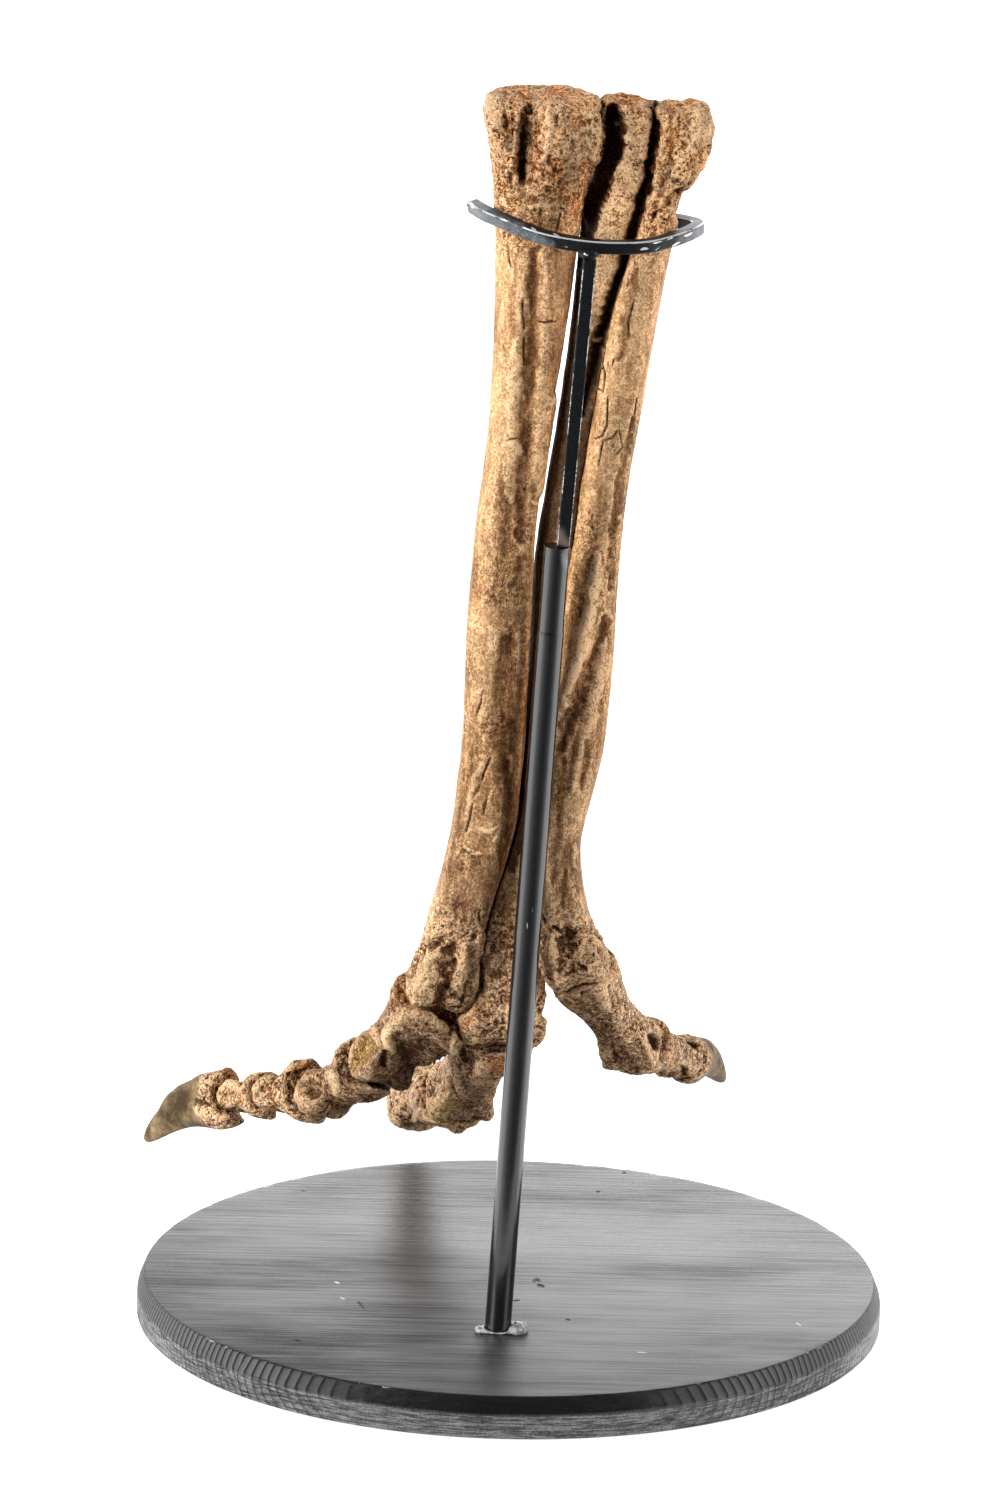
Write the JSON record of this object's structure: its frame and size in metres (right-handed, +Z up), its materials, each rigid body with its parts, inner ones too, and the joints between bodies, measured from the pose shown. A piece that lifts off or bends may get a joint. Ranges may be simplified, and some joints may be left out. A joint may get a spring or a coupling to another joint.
{
  "type": "mounted fossil foot",
  "caption": "Fossil foot of an ostrich-like dinosaur, long foot bones and clawed toes, standing in a steel post and open ring on a round wooden base.",
  "frame": {"origin": "centre of the flat underside of the round wooden base, where it rests", "axes": "+Z up along the foot bones; -Y towards the sole side with the post; +Y the way the toes point; +X towards the inner toe"},
  "size_m": [0.2802, 0.331, 0.4807],
  "materials": {
    "fossil_bone": "rough tan-brown fossil bone, porous at the joints",
    "black_wood": "black stain, thin worn sheen, grain showing",
    "black_steel": "black paint, scratched to bright metal at the edges",
    "clear_glue": "set clear glue, shiny"
  },
  "bodies": {
    "root": {"metatarsal_2": "fossil_bone", "metatarsal_3": "fossil_bone", "metatarsal_4": "fossil_bone", "toe_2_phalanx_1": "fossil_bone", "toe_2_phalanx_2": "fossil_bone", "toe_2_claw": "fossil_bone", "toe_3_phalanx_1": "fossil_bone", "toe_3_phalanx_2": "fossil_bone", "toe_3_phalanx_3": "fossil_bone", "toe_3_claw": "fossil_bone", "toe_4_phalanx_1": "fossil_bone", "toe_4_phalanx_2": "fossil_bone", "toe_4_phalanx_3": "fossil_bone", "toe_4_phalanx_4": "fossil_bone", "toe_4_claw": "fossil_bone", "base_disc": "black_wood", "post_tube": "black_steel", "post_bar": "black_steel", "support_ring": "black_steel", "weld_bead": "black_steel", "foot_glue": "clear_glue"}
  },
  "joints": []
}
